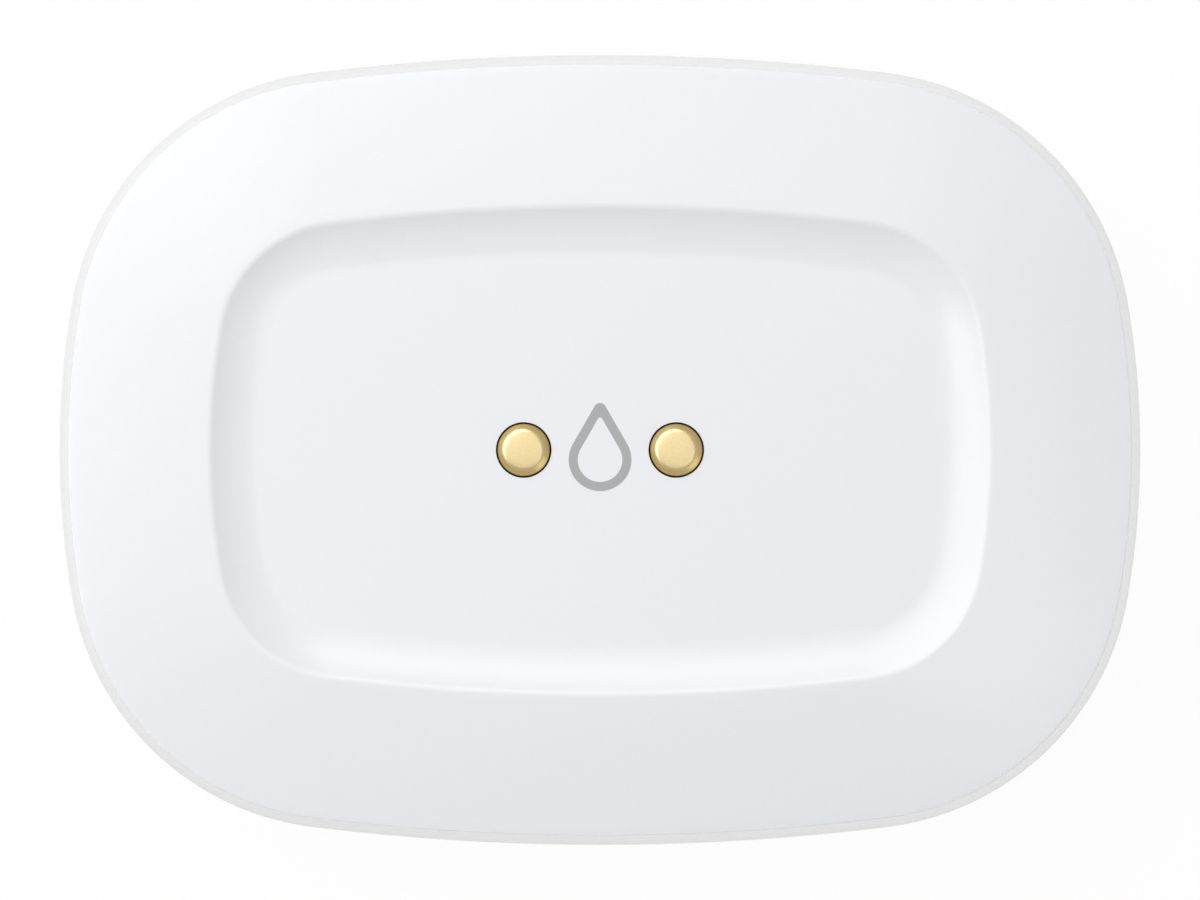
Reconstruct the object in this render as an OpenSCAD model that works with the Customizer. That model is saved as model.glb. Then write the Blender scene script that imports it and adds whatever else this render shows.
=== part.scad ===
// Water leak sensor: a flat case with a drip dish on top, two contact pins in the dish
// and four contact feet below. +Z is up, the feet stand on z = 0, the length lies along X.

/* [Outline] */
// Length of the case at its widest line
case_l = 52; // [48:0.5:60]
// Width of the case at its widest line
case_w = 38; // [36:0.5:46]
// Radius of the four corners
corner_r = 13.4; // [12.4:0.1:15]
// Radius of the bow of the long sides
side_bow_r = 112; // [90:1:150]
// Radius of the bow of the short ends
end_bow_r = 42; // [36:0.5:52]

/* [Top cover] */
// Distance from the widest line to the crest of the dish lip
lip_inset = 7.2; // [6:0.1:8]
// Depth of the drip dish below the rim
dish_depth = 0.75; // [0.5:0.05:1.2]
// Steepest slope of the dish wall, in degrees
dish_slope = 30; // [24:1:45]
// Slope of the dish wall where it meets the floor, in degrees
dish_toe = 6; // [3:1:10]
// Radius of the dish lip
lip_r = 0.6; // [0.4:0.05:1]
// Slope of the crowned rim where it meets the lip, in degrees
lip_slope = 5; // [2:0.5:6]
// Slope of the crowned rim at its outer edge, in degrees
rim_slope = 8; // [6:0.5:12]
// Distance from the widest line to the outer edge of the rim
rim_inset = 0.6; // [0.5:0.05:1]
// Radius between the rim and the side wall
edge_r = 0.1; // [0.05:0.05:0.4]
// Thickness of the dish floor
dish_t = 1.5; // [1.3:0.1:2]
// Thickness of the roof under the rim
roof_t = 1.6; // [1.2:0.1:2]
// Thickness of the side wall at the seam
wall_t = 2; // [1.8:0.1:2.4]

/* [Base] */
// Height of the contact feet below the base
foot_proud = 0.6; // [0.4:0.1:1]
// Thickness of the base floor
base_t = 1.6; // [1.4:0.1:2]
// Height of the seam above the underside of the base
seam_h = 4.4; // [4:0.1:5]
// How far the base tucks in from the seam to its flat underside
tuck = 3; // [2:0.1:3.4]
// Step of the base behind the widest line at the seam
seam_step = 0.15; // [0:0.05:0.3]
// Open height of the seam
seam_gap = 0.2; // [0.1:0.05:0.3]

/* [Case seal] */
// Distance from the widest line to the seal groove
groove_inset = 1.1; // [1:0.05:1.3]
// Width of the seal groove
groove_w = 1; // [0.8:0.05:1.2]
// Depth of the seal groove
groove_d = 1.1; // [0.9:0.05:1.3]
// Height of the squeezed seal
seal_h = 0.85; // [0.6:0.05:0.9]
// Wall of the base behind the seal groove
groove_wall = 0.9; // [0.7:0.1:1.2]

/* [Contacts] */
// Distance between the two pins in the dish
pin_pitch = 7.3; // [7:0.1:8]
// Diameter of a contact head
head_d = 2.5; // [2.4:0.1:3]
// Width of the rounded crown at the edge of a contact head
crown_w = 0.32; // [0.2:0.02:0.4]
// Height of that crown
crown_h = 0.18; // [0.1:0.02:0.3]
// Height of a pin head above the dish floor
pin_proud = 0.35; // [0.2:0.05:0.5]
// Depth of a contact head below the face that it sits in
head_sink = 0.5; // [0.3:0.05:0.6]
// Diameter of a contact shank
shank_d = 1.6; // [1.4:0.1:1.8]
// Height of the boss behind a contact
boss_h = 1.4; // [1.2:0.1:1.8]
// Wall of the boss round a contact head
boss_wall = 0.9; // [0.7:0.1:1]
// Thickness of the push-on clip behind a boss
clip_t = 0.25; // [0.2:0.05:0.35]
// Length of shank behind the clip
tail_l = 0.6; // [0.5:0.1:0.8]
// Distance from the widest line to the centre of a foot
foot_inset = 5.4; // [5.2:0.1:6]
// Direction of the outline's normal at a foot, in degrees
foot_heading = 66; // [60:1:70]

/* [Contact springs] */
// Thickness of the spring strip
strip_t = 0.15; // [0.1:0.05:0.2]
// Width of a pin finger
finger_w = 1.2; // [1:0.1:1.6]
// Length of a pin finger's solder pad
finger_pad = 3.2; // [3:0.1:3.6]
// Wire of a foot spring
wire_d = 0.3; // [0.2:0.05:0.35]
// Mean diameter of a foot spring
coil_d = 2.3; // [2.2:0.1:2.6]
// Turns of a foot spring
coil_turns = 4; // [3:0.5:4.5]

/* [Battery] */
// Diameter of the coin cell
cell_d = 20; // [18:0.5:22]
// Height of the coin cell
cell_h = 3.2; // [2.6:0.1:4]
// Diameter of the negative cap
cap_d = 17.6; // [15:0.1:17.8]
// Step of the negative cap above the can
cap_step = 0.3; // [0.2:0.05:0.4]
// Room between the cell and the board for the spring
spring_room = 1.8; // [1.6:0.1:2.4]
// Thickness of the negative spring
leaf_t = 0.2; // [0.15:0.05:0.25]
// Width of the negative spring
leaf_w = 3.6; // [3:0.1:4.5]
// Span of the negative spring between its pads
leaf_span = 10; // [8:0.5:11]
// Length of one spring pad
leaf_pad = 2; // [1.5:0.1:2.4]
// Width of the positive clip
side_clip_w = 3; // [2.5:0.1:4]
// Wall of the battery well
well_t = 1.1; // [0.9:0.1:1.4]

/* [Battery door] */
// Thickness of the door where the cell rests
door_t = 1.8; // [1.7:0.1:2.2]
// Thickness of the outer plate of the door
plate_t = 1; // [0.95:0.05:1.2]
// Broken edge round the face of the door
door_edge = 0.25; // [0.15:0.05:0.4]
// Wall of the door's neck
neck_t = 1; // [0.8:0.1:1.2]
// How far the plate stands out past the neck
plate_lap = 1.5; // [1.4:0.05:1.8]
// Reach of a bayonet lug past the neck
lug_reach = 1; // [0.8:0.05:1.1]
// Height of a bayonet lug
lug_h = 1; // [0.8:0.05:1.2]
// Height of the neck above its lugs
neck_lip = 0.2; // [0.1:0.05:0.3]
// Width of a bayonet lug, in degrees
lug_angle = 28; // [20:1:32]
// Number of bayonet lugs
lug_count = 3; // [2:1:3]
// Heading of the first lug when the door is locked, in degrees
lug_heading = 30; // [0:5:60]
// Turn from locked to open, in degrees
door_twist = 45; // [40:1:50]
// Thickness of the ledge that the lugs hold on to
ledge_t = 1.2; // [1:0.1:1.5]
// Wall round the bayonet track
track_t = 1.1; // [0.9:0.1:1.4]
// Roof over the bayonet track
track_roof = 0.6; // [0.5:0.1:0.9]
// Cord thickness of the door seal
door_cord = 0.6; // [0.5:0.05:0.65]
// Length of the coin slot
slot_l = 15; // [12:0.5:17]
// Width of the coin slot
slot_w = 2.2; // [1.8:0.1:2.6]
// Depth of the coin slot at its middle
slot_d = 0.9; // [0.6:0.05:1.1]

/* [Board] */
// Thickness of the circuit board
board_t = 1; // [0.8:0.1:1.6]
// Distance from the widest line to the board edge
board_inset = 3; // [2.9:0.1:3.6]
// Room between the board and the dish floor
part_room = 4; // [3.6:0.1:5]
// Length of the radio board along the case
radio_l = 10; // [8:0.1:10.5]
// Width of the radio board across the case
radio_w = 12; // [10:0.1:13]
// Thickness of the radio board
radio_t = 0.8; // [0.6:0.1:1]
// Gap between the radio board and the nearest pin finger
radio_gap = 1.6; // [0.8:0.1:1.8]
// Border of the radio board round the shield can
shield_border = 0.8; // [0.5:0.1:1.2]
// Height of the shield can
shield_h = 1.6; // [1.2:0.1:2]
// Sheet of the shield can
shield_t = 0.2; // [0.15:0.05:0.3]
// Thickness of the chip antenna along the case
antenna_l = 1.8; // [1.4:0.1:2]
// Length of the chip antenna across the case
antenna_w = 6; // [4:0.1:7]
// Height of the chip antenna
antenna_h = 0.9; // [0.6:0.1:1.2]
// Distance from the board edge to the chip antenna
antenna_gap = 0.6; // [0.4:0.1:1]
// Length of the status lamp
lamp_l = 1.6; // [1.2:0.1:2]
// Width of the status lamp
lamp_w = 0.8; // [0.6:0.1:1.2]
// Height of the status lamp
lamp_h = 0.6; // [0.4:0.1:0.8]
// Diameter of the light pipe
pipe_d = 2.6; // [2:0.1:2.8]
// Thin skin of the dish floor over the light pipe
skin_t = 0.6; // [0.5:0.05:0.8]

/* [Pair button] */
// Distance from the widest line to the centre of the button
button_inset = 7.8; // [7.6:0.1:8.4]
// Diameter of the button face
button_d = 4; // [3.6:0.1:4.2]
// Broken edge of the button face
button_edge = 0.3; // [0.2:0.05:0.4]
// Depth of the button face behind the underside
button_recess = 0.3; // [0.2:0.05:0.5]
// Travel of the button
button_travel = 0.3; // [0.2:0.05:0.4]
// Reach of the button's collar past its face
collar_reach = 0.9; // [0.7:0.05:1]
// Thickness of the button's collar
collar_t = 0.6; // [0.5:0.05:0.8]
// Thickness of the flat seal under the collar
washer_t = 0.4; // [0.3:0.05:0.5]
// Width of the square switch body
switch_w = 4.5; // [4:0.1:5]
// Height of the switch body
switch_h = 1.5; // [1.4:0.1:1.8]
// Diameter of the switch plunger
plunger_d = 1.9; // [1.6:0.1:2.2]
// Length of plunger outside the switch
plunger_out = 0.5; // [0.45:0.05:0.6]

/* [Case screws] */
// Distance from the widest line to the centre of a screw
screw_inset = 5.1; // [5:0.1:5.6]
// Direction of the outline's normal at a screw, in degrees
screw_heading = 15; // [13:1:20]
// Shank diameter of a screw
screw_d = 1.9; // [1.7:0.1:2.1]
// Length of a screw under its head
screw_l = 8.5; // [8:0.5:9.5]
// Diameter of a screw head
screw_head_d = 3.6; // [3.2:0.1:3.8]
// Height of a screw head
screw_head_h = 1.3; // [1:0.1:1.4]
// Depth of the screw seat above the underside
seat_h = 1.8; // [1.7:0.1:2]
// Diameter of the post and boss round a screw
post_d = 5.6; // [5.2:0.1:6]

/* [Clearances] */
// Gap all round a contact head
head_gap = 0.08; // [0.04:0.02:0.14]
// Gap round pressed shanks and parts that rest on each other
rest_gap = 0.02; // [0.01:0.01:0.04]
// Gap round sliding and turning parts
run_gap = 0.15; // [0.1:0.05:0.2]
// Gap round loose fits, such as the cell in its well
loose_gap = 0.3; // [0.2:0.05:0.4]

/* [Hidden] */
$fn = 64;

// Depth by which joined shapes run into each other, and cutters run out of what they cut
bite = 0.4;

// Heights, stacked from the floor up
base_z = foot_proud;
floor_z = base_z + base_t;
seam_z = base_z + seam_h;
cell_z = base_z + door_t + rest_gap;
cell_top = cell_z + cell_h;
board_z = cell_top + spring_room;
board_top = board_z + board_t;
dish_under = board_top + part_room;
dish_z = dish_under + dish_t;
rim_z = dish_z + dish_depth;

// Outline: each side is a shallow bow and each corner an arc tangent to both bows
side_c = [0, case_w / 2 - side_bow_r];
end_c = [case_l / 2 - end_bow_r, 0];
bow_span = norm(end_c - side_c);
bow_dir = (end_c - side_c) / bow_span;
side_reach = side_bow_r - corner_r;
end_reach = end_bow_r - corner_r;
bow_along = (bow_span^2 + side_reach^2 - end_reach^2) / (2 * bow_span);
bow_across = sqrt(side_reach^2 - bow_along^2);
corner_c = side_c + bow_along * bow_dir + bow_across * [bow_dir.y, -bow_dir.x];
end_heading = atan2(corner_c.y, corner_c.x - end_c.x);
side_heading = atan2(corner_c.y - side_c.y, corner_c.x);

// Facets of half an end bow, a corner and half a long bow
end_steps = 4;
corner_steps = 12;
side_steps = 5;
quarter = concat([for (i = [0 : end_steps - 1]) end_heading * i / end_steps],
    [for (i = [0 : corner_steps - 1]) end_heading + (side_heading - end_heading) * i / corner_steps],
    [for (i = [0 : side_steps - 1]) side_heading + (90 - side_heading) * i / side_steps]);
half = concat(quarter, [90], [for (i = [len(quarter) - 1 : -1 : 1]) 180 - quarter[i]]);
headings = concat(half, [for (h = half) h + 180]);

// Point of the outline whose normal has this heading, moved inward by inset
function outline_point(heading, inset) =
    let (c = cos(heading), s = sin(heading), folded = atan2(abs(s), abs(c)))
    let (centre = folded < end_heading ? end_c : folded < side_heading ? corner_c : side_c)
    let (r = folded < end_heading ? end_bow_r : folded < side_heading ? corner_r : side_bow_r)
    let (p = centre + (r - inset) * [abs(c), abs(s)])
    [sign(c) * p.x, sign(s) * p.y];
function outline_ring(inset) = [for (h = headings) outline_point(h, inset)];

// Four places, one in each quarter, at this heading and inset
function four_places(heading, inset) =
    [for (h = [heading, 180 - heading, 180 + heading, 360 - heading]) outline_point(h, inset)];
screw_places = four_places(screw_heading, screw_inset);
foot_places = four_places(foot_heading, foot_inset);
pin_places = [[-pin_pitch / 2, 0], [pin_pitch / 2, 0]];
button_place = outline_point(0, button_inset);

// Sweep of a profile of [inset, height] rows along the outline
function swept_points(profile) =
    [for (row = profile) for (p = outline_ring(row[0])) [p.x, p.y, row[1]]];
function swept_faces(rows, count) =
    let (n = len(headings))
    [for (i = [0 : rows - 1]) for (j = [0 : n - 1])
        let (k = (j + 1) % n, m = (i + 1) % count)
        [i * n + j, i * n + k, m * n + k, m * n + j]];

// Shell that starts on a face looking up, runs out round the edge and ends on a face looking down
module swept_shell(profile) {
    n = len(headings);
    last = len(profile) - 1;
    caps = [[for (j = [n - 1 : -1 : 0]) j], [for (j = [0 : n - 1]) last * n + j]];
    polyhedron(swept_points(profile), concat(caps, swept_faces(last, last + 1)));
}

// Closed ring whose section is listed from its top inner corner outward
module swept_ring(section) {
    polyhedron(swept_points(section), swept_faces(len(section), len(section)));
}

module ring_cord_at(r, cord, z) {
    translate([0, 0, z]) rotate_extrude() translate([r, 0]) circle(d = cord);
}

module disc(d, z0, z1) {
    translate([0, 0, z0]) cylinder(d = d, h = z1 - z0);
}

// Sector of a ring between two radii and two heights
module ring_sector(r0, r1, z0, z1, from, angle) {
    rotate([0, 0, from])
        rotate_extrude(angle = angle)
            translate([r0, z0]) square([r1 - r0, z1 - z0]);
}

module box_on(size, z) {
    translate([-size.x / 2, -size.y / 2, z]) cube(size);
}

// Strip of sheet bent along a path of [x, z] points, its width along Y
function strip_side(path, offset) =
    [for (i = [0 : len(path) - 1])
        let (a = path[max(i - 1, 0)], b = path[i], c = path[min(i + 1, len(path) - 1)])
        let (u = i > 0 ? (b - a) / norm(b - a) : (c - b) / norm(c - b))
        let (v = i < len(path) - 1 ? (c - b) / norm(c - b) : u)
        let (m = (u + v) / norm(u + v))
        b + offset * [-m.y, m.x] / (m * u)];
module bent_strip(path, thickness, width) {
    outer = strip_side(path, thickness / 2);
    inner = strip_side(path, -thickness / 2);
    turned = [for (i = [len(inner) - 1 : -1 : 0]) inner[i]];
    rotate([90, 0, 0])
        linear_extrude(width, center = true) polygon(concat(outer, turned));
}

// Top cover

// Arcs of the dish wall, its lip and the crowned rim, from the dish floor outward
dish_steps = 6;
lip_steps = 4;
rim_steps = 3;
edge_steps = 4;
lip_drop = lip_r * (1 - cos(dish_slope));
dish_wall_r = (dish_depth - lip_drop) / (cos(dish_toe) - cos(dish_slope));
dish_floor_inset = lip_inset + lip_r * sin(dish_slope)
    + dish_wall_r * (sin(dish_slope) - sin(dish_toe));
dish_wall = [for (i = [0 : dish_steps])
    let (s = dish_toe + (dish_slope - dish_toe) * i / dish_steps)
    [dish_floor_inset - dish_wall_r * (sin(s) - sin(dish_toe)),
        dish_z + dish_wall_r * (cos(dish_toe) - cos(s))]];
dish_lip = [for (i = [1 : lip_steps])
    let (s = dish_slope - (dish_slope + lip_slope) * i / lip_steps)
    [lip_inset + lip_r * sin(s), rim_z - lip_r * (1 - cos(s))]];
rim_start = lip_inset - lip_r * sin(lip_slope);
start_drop = lip_r * (1 - cos(lip_slope));
rim_r = (rim_start - rim_inset) / (sin(rim_slope) - sin(lip_slope));
rim_drop = start_drop + rim_r * (cos(lip_slope) - cos(rim_slope));
rim = [for (i = [1 : rim_steps])
    let (s = lip_slope + (rim_slope - lip_slope) * i / rim_steps)
    [rim_start - rim_r * (sin(s) - sin(lip_slope)),
        rim_z - start_drop - rim_r * (cos(lip_slope) - cos(s))]];
edge = [for (i = [1 : edge_steps])
    let (s = rim_slope + (90 - rim_slope) * i / edge_steps)
    [rim_inset - edge_r * (sin(s) - sin(rim_slope)),
        rim_z - rim_drop - edge_r * (cos(rim_slope) - cos(s))]];

// Tongue that presses the seal, then the inside up to the roof and under the dish
tongue_in = groove_inset + groove_w - run_gap;
seal_z = seam_z - groove_d;
seal_top = seal_z + seal_h;
roof_z = rim_z - rim_drop - roof_t;
crest_roof_z = rim_z - roof_t;
roof_round = 1;
under_step = 0.4;
cover_inside = [[0, seam_z + seam_gap],
    [groove_inset + run_gap, seam_z + seam_gap],
    [groove_inset + run_gap, seal_top],
    [tongue_in, seal_top],
    [wall_t, seam_z + seam_gap],
    [wall_t + rim_inset / 2, roof_z - roof_round],
    [wall_t + rim_inset / 2 + roof_round, roof_z],
    [lip_inset - under_step, crest_roof_z],
    [dish_floor_inset - under_step, dish_under]];

boss_d = head_d + 2 * boss_wall;
pin_boss_z = dish_under - boss_h;
head_bore_d = head_d + 2 * head_gap;
shank_bore_d = shank_d + 2 * rest_gap;
ring_cord = (head_bore_d - shank_d) / 2 - 2 * rest_gap;
ring_room = ring_cord + rest_gap;
pipe_bore_d = pipe_d + 2 * run_gap;
pipe_top = dish_z - skin_t;
screw_tip = base_z + seat_h + screw_l;
pilot_d = screw_d + 2 * rest_gap;

module top_cover() {
    color("whitesmoke")
        difference() {
            union() {
                swept_shell(concat(dish_wall, dish_lip, rim, edge, cover_inside));
                for (p = screw_places) translate(p) disc(post_d, board_top, crest_roof_z + bite);
                for (p = pin_places) translate(p) disc(boss_d, pin_boss_z, dish_under + bite);
                disc(boss_d, pin_boss_z, dish_under + bite);
            }
            for (p = screw_places) translate(p) disc(pilot_d, board_top - bite, screw_tip + bite);
            for (p = pin_places) translate(p) {
                disc(shank_bore_d, pin_boss_z - bite, dish_z + bite);
                disc(head_bore_d, dish_z - head_sink - ring_room, dish_z + bite);
            }
            disc(pipe_bore_d, pin_boss_z - bite, pipe_top);
        }
}

// Base shell

groove_end = groove_inset + groove_w;
rim_end = groove_end + groove_wall;
floor_round = 1.2;
tuck_steps = 6;
base_inside = [[rim_end + floor_round, floor_z],
    [rim_end, floor_z + floor_round],
    [rim_end, seam_z],
    [groove_end, seam_z],
    [groove_end, seal_z],
    [groove_inset, seal_z],
    [groove_inset, seam_z]];
base_outside = [for (i = [0 : tuck_steps])
    let (t = 90 * (1 - i / tuck_steps))
    [seam_step + tuck * (1 - sin(t)), base_z + seam_h * (1 - cos(t))]];

// Radii and heights of the door and the bayonet track that it turns in
well_r = cell_d / 2 + loose_gap;
neck_r = well_r + neck_t;
lug_r = neck_r + lug_reach;
plate_r = neck_r + plate_lap;
mouth_r = neck_r + run_gap;
track_r = lug_r + run_gap;
recess_r = plate_r + run_gap;
ledge_z = base_z + plate_t;
track_z = ledge_z + ledge_t;
lug_z = track_z + run_gap;
lug_top = lug_z + lug_h;
neck_top = lug_top + neck_lip;
track_top = lug_top + run_gap;
mouth_top = neck_top + run_gap;
housing_top = mouth_top + track_roof;
well_top = board_z - loose_gap;
track_play = 1.5;
notch_play = 1;
notch_r = track_r + run_gap;
lug_starts = [for (i = [0 : lug_count - 1]) lug_heading + i * 360 / lug_count];
door_bore = [[0, base_z - bite], [recess_r, base_z - bite], [recess_r, ledge_z], [mouth_r, ledge_z],
    [mouth_r, mouth_top], [well_r, mouth_top], [well_r, well_top + bite], [0, well_top + bite]];

foot_boss_z = floor_z + boss_h;
post_bore_d = screw_d + 2 * run_gap;
screw_recess_d = screw_head_d + 2 * run_gap;
button_bore_d = button_d + 2 * run_gap;
side_clip_slot = side_clip_w + 2 * loose_gap;

module base_shell() {
    color("white")
        difference() {
            union() {
                swept_shell(concat(base_inside, base_outside));
                disc(2 * (track_r + track_t), floor_z - bite, housing_top);
                disc(2 * (well_r + well_t), housing_top - bite, well_top);
                for (p = screw_places) translate(p) disc(post_d, floor_z - bite, board_z);
                for (p = foot_places) translate(p) disc(boss_d, floor_z - bite, foot_boss_z);
            }
            rotate_extrude() polygon(door_bore);
            for (a = lug_starts) {
                ring_sector(mouth_r - bite, track_r, track_z, track_top,
                    a - door_twist - track_play, lug_angle + door_twist + 2 * track_play);
                ring_sector(mouth_r - bite, notch_r, ledge_z - bite, track_z + bite,
                    a - door_twist - notch_play, lug_angle + 2 * notch_play);
            }
            translate([-well_r - well_t, 0, housing_top])
                box_on([2 * well_t + 2 * loose_gap, side_clip_slot, well_top], 0);
            for (p = screw_places) translate(p) {
                disc(post_bore_d, base_z - bite, board_z + bite);
                disc(screw_recess_d, base_z - bite, base_z + seat_h);
            }
            for (p = foot_places) translate(p) {
                disc(shank_bore_d, base_z - bite, foot_boss_z + bite);
                disc(head_bore_d, base_z - bite, base_z + head_sink + ring_room);
            }
            translate(button_place) disc(button_bore_d, base_z - bite, floor_z + bite);
        }
}

// Seal between the shells

module case_seal() {
    color("dimgray")
        swept_ring([[groove_end - rest_gap, seal_top], [groove_inset + rest_gap, seal_top],
            [groove_inset + rest_gap, seal_z], [groove_end - rest_gap, seal_z]]);
}

// Case screws, driven from below

cross_l = 2;
cross_w = 0.5;
cross_d = 0.7;
head_round = 0.3;

module case_screw() {
    seat_z = base_z + seat_h;
    head_z = seat_z - screw_head_h;
    difference() {
        union() {
            rotate_extrude()
                polygon([[0, head_z], [screw_head_d / 2 - head_round, head_z],
                    [screw_head_d / 2, head_z + head_round], [screw_head_d / 2, seat_z], [0, seat_z]]);
            disc(screw_d, seat_z - bite, screw_tip);
        }
        for (a = [0, 90]) rotate([0, 0, a]) box_on([cross_l, cross_w, 2 * cross_d], head_z - cross_d);
    }
}

module case_screws() {
    color("silver")
        for (p = screw_places) translate(p) case_screw();
}

// Contact pins in the dish and contact feet below

// Turned contact standing on its tail: a shank, then a flat head with a low rounded crown at its edge
crown_steps = 6;
module contact(head_h, shank_l) {
    top = shank_l + head_h;
    crown = [for (i = [0 : crown_steps])
        let (t = 90 * i / crown_steps)
        [head_d / 2 - crown_w * (1 - cos(t)), top - crown_h * (1 - sin(t))]];
    rotate_extrude()
        polygon(concat([[0, 0], [shank_d / 2, 0], [shank_d / 2, shank_l], [head_d / 2, shank_l]],
            crown, [[0, top]]));
}

pin_tail = pin_boss_z - clip_t - tail_l;
pin_head_z = dish_z - head_sink;
foot_tail = foot_boss_z + clip_t + tail_l;
foot_head_z = base_z + head_sink;

module contact_pin(place) {
    color("goldenrod")
        translate([place.x, place.y, pin_tail])
            contact(head_sink + pin_proud, pin_head_z - pin_tail);
}
module left_contact_pin() { contact_pin(pin_places[0]); }
module right_contact_pin() { contact_pin(pin_places[1]); }

module floor_contacts() {
    color("goldenrod")
        for (p = foot_places)
            translate([p.x, p.y, foot_tail])
                rotate([180, 0, 0]) contact(foot_head_z, foot_tail - foot_head_z);
}

// Rings under the contact heads
ring_r = shank_d / 2 + rest_gap + ring_cord / 2;

module pin_seals() {
    color("dimgray")
        for (p = pin_places) translate(p) ring_cord_at(ring_r, ring_cord, pin_head_z - ring_room / 2);
}
module floor_contact_seals() {
    color("dimgray")
        for (p = foot_places) translate(p) ring_cord_at(ring_r, ring_cord, foot_head_z + ring_room / 2);
}

// Push-on clips that hold the shanks
clip_d = boss_d - 2 * loose_gap;

module clip(z) {
    difference() {
        disc(clip_d, z, z + clip_t);
        disc(shank_bore_d, z - bite, z + clip_t + bite);
    }
}
module pin_clips() {
    color("silver")
        for (p = pin_places) translate(p) clip(pin_boss_z - clip_t);
}
module floor_contact_clips() {
    color("silver")
        for (p = foot_places) translate(p) clip(foot_boss_z);
}

// Spring fingers from the board to the pins: a pad, a tight fold and an arm with a crest
finger_fold = 0.35;
finger_back = 1.3;
finger_nose = 0.7;
finger_pad_z = board_top + strip_t / 2;
finger_crest = pin_tail - rest_gap - strip_t / 2;
fold_steps = 6;
finger_path = concat([[finger_pad - finger_back, finger_pad_z]],
    [for (i = [0 : fold_steps])
        let (t = -90 - 180 * i / fold_steps)
        [finger_fold * cos(t) - finger_back, finger_pad_z + finger_fold * (1 + sin(t))]],
    [[-finger_nose / 2, finger_crest - strip_t], [0, finger_crest],
        [finger_nose / 2, finger_crest - strip_t], [finger_nose, finger_crest - finger_nose / 2]]);

module pin_fingers() {
    color("gold")
        for (i = [0, 1])
            translate(pin_places[i]) mirror([1 - i, 0, 0]) bent_strip(finger_path, strip_t, finger_w);
}

// Coil springs from the feet up to the board
coil_sides = 6;
coil_rings = 8;
coil_z = foot_boss_z + clip_t + rest_gap + wire_d / 2;
coil_h = board_z - rest_gap - wire_d / 2 - coil_z;

module coil_spring() {
    count = coil_rings * coil_turns;
    points = [for (i = [0 : count]) for (j = [0 : coil_sides - 1])
        let (a = 360 * i / coil_rings, b = 360 * j / coil_sides)
        let (r = coil_d / 2 + wire_d / 2 * cos(b))
        [r * cos(a), r * sin(a), coil_h * i / count + wire_d / 2 * sin(b)]];
    walls = [for (i = [0 : count - 1]) for (j = [0 : coil_sides - 1])
        let (k = (j + 1) % coil_sides, p = i * coil_sides, q = p + coil_sides)
        for (f = [[p + j, q + k, q + j], [p + j, p + k, q + k]]) f];
    caps = [for (j = [1 : coil_sides - 2])
        let (q = count * coil_sides)
        for (f = [[0, j + 1, j], [q, q + j, q + j + 1]]) f];
    polyhedron(points, concat(walls, caps));
}

module floor_contact_springs() {
    color("gold")
        for (p = foot_places) translate([p.x, p.y, coil_z]) coil_spring();
}

// Circuit board and what is soldered on it

module circuit_board() {
    color("darkgreen")
        difference() {
            translate([0, 0, board_z]) linear_extrude(board_t) polygon(outline_ring(board_inset));
            for (p = screw_places) translate(p) disc(post_bore_d, board_z - bite, board_top + bite);
        }
}

radio_x = -pin_pitch / 2 - finger_pad + finger_back - radio_gap - radio_l / 2;
radio_top = board_top + radio_t;

module radio_board() {
    color("seagreen") translate([radio_x, 0]) box_on([radio_l, radio_w, radio_t], board_top);
}

shield_round = 0.6;

// Block with rounded upright edges, its sides a border inside the radio board
module shield_block(border, z0, z1) {
    l = radio_l - 2 * border;
    w = radio_w - 2 * border;
    translate([0, 0, z0])
        linear_extrude(z1 - z0) {
            square([l, w - 2 * shield_round], center = true);
            square([l - 2 * shield_round, w], center = true);
            for (x = [-1, 1], y = [-1, 1])
                translate([x * (l / 2 - shield_round), y * (w / 2 - shield_round)]) circle(shield_round);
        }
}

module radio_shield() {
    color("silver")
        translate([radio_x, 0, 0])
            difference() {
                shield_block(shield_border, radio_top, radio_top + shield_h);
                shield_block(shield_border + shield_t, radio_top - bite, radio_top + shield_h - shield_t);
            }
}

antenna_x = outline_point(180, board_inset).x + antenna_gap + antenna_l / 2;

module chip_antenna() {
    color("lightblue") translate([antenna_x, 0]) box_on([antenna_l, antenna_w, antenna_h], board_top);
}

// Sense amplifier, crystal, coils and capacitors on the free end of the board
chip_size = [3, 3, 0.9];
crystal_size = [2.5, 3.2, 0.8];
coil_size = [2, 2, 1];
cap_size = [1.6, 0.8, 0.8];
parts_x = 11.5;
parts_pitch = 3.4;

module board_components() {
    color("dimgray") {
        translate([parts_x, 0]) box_on(chip_size, board_top);
        translate([parts_x + parts_pitch, 0]) box_on(crystal_size, board_top);
        for (s = [-1, 1]) {
            translate([parts_x, s * parts_pitch]) box_on(coil_size, board_top);
            for (i = [0 : 2])
                translate([parts_x + i * parts_pitch / 2, s * 2 * parts_pitch]) box_on(cap_size, board_top);
        }
    }
}

module status_lamp() {
    color("ivory") box_on([lamp_l, lamp_w, lamp_h], board_top);
}

// Light pipe under the thin skin of the dish floor
pipe_round = 0.4;
pipe_foot = board_top + lamp_h + run_gap;

module light_pipe() {
    color("lightcyan")
        rotate_extrude()
            polygon([[0, pipe_foot], [pipe_d / 2 - pipe_round, pipe_foot],
                [pipe_d / 2, pipe_foot + pipe_round], [pipe_d / 2, pipe_top - rest_gap],
                [0, pipe_top - rest_gap]]);
}

// Pair button, its seal and the switch that it presses

plunger_z = board_z - switch_h - plunger_out;
plunger_bore_d = plunger_d + 2 * run_gap;
plunger_room = button_travel + run_gap;
collar_z = floor_z + washer_t + rest_gap;
stem_d = plunger_d;

module pair_switch() {
    color("black")
        translate(button_place)
            difference() {
                box_on([switch_w, switch_w, switch_h], board_z - switch_h);
                disc(plunger_bore_d, board_z - switch_h - bite, board_z - switch_h + 2 * plunger_room);
            }
}

module switch_plunger() {
    color("darkgray")
        translate(button_place) disc(plunger_d, plunger_z, board_z - switch_h + plunger_room);
}

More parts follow.
